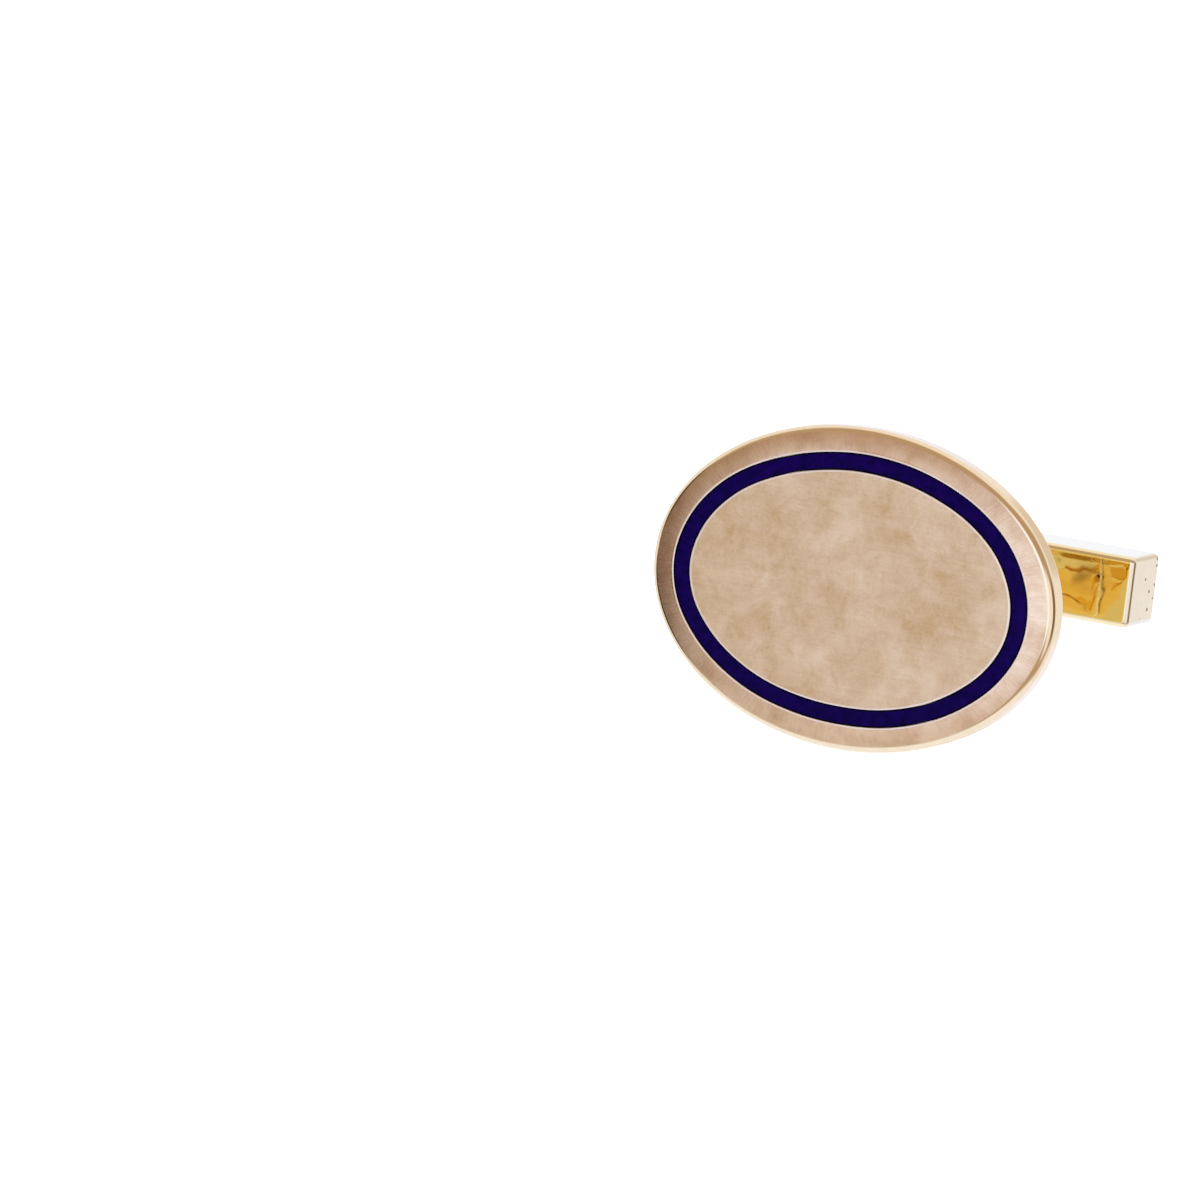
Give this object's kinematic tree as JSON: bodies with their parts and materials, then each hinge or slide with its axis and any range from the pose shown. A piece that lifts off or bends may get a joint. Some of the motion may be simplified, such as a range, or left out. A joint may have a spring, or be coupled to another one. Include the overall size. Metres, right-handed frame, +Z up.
{
  "type": "cufflink",
  "caption": "Oval gold cufflink with a satin face, an inlaid dark blue enamel ring and a mirror-polished swivel bar on a two-armed post.",
  "frame": {"origin": "centre of the flat face, where the post's axis crosses it", "axes": "+X along the oval's long axis, +Y back along the post, +Z up across the oval; the face looks along -Y"},
  "size_m": [0.0183, 0.0159, 0.0136],
  "materials": {
    "satin_gold": "satin face, polished edge",
    "polished_gold": "mirror polished",
    "blue_enamel": "glossy, ground level",
    "spring_steel": "bright"
  },
  "bodies": {
    "front": {"face_plate": "satin_gold", "enamel_ring": "blue_enamel", "post_foot": "polished_gold", "arm_upper": "polished_gold", "arm_lower": "polished_gold", "pivot_pin": "polished_gold"},
    "toggle": {"toggle_tube": "polished_gold", "end_cap_left": "polished_gold", "end_cap_right": "polished_gold", "leaf_spring_front": "spring_steel", "leaf_spring_back": "spring_steel"}
  },
  "joints": [
    {"name": "toggle_swivel", "type": "hinge", "parent": "front", "child": "toggle", "pos_m": [0, 0.0144, 0], "axis": [0, 0, 1], "range_deg": [-90, 90], "deforming": ["leaf_spring_front", "leaf_spring_back"]}
  ]
}
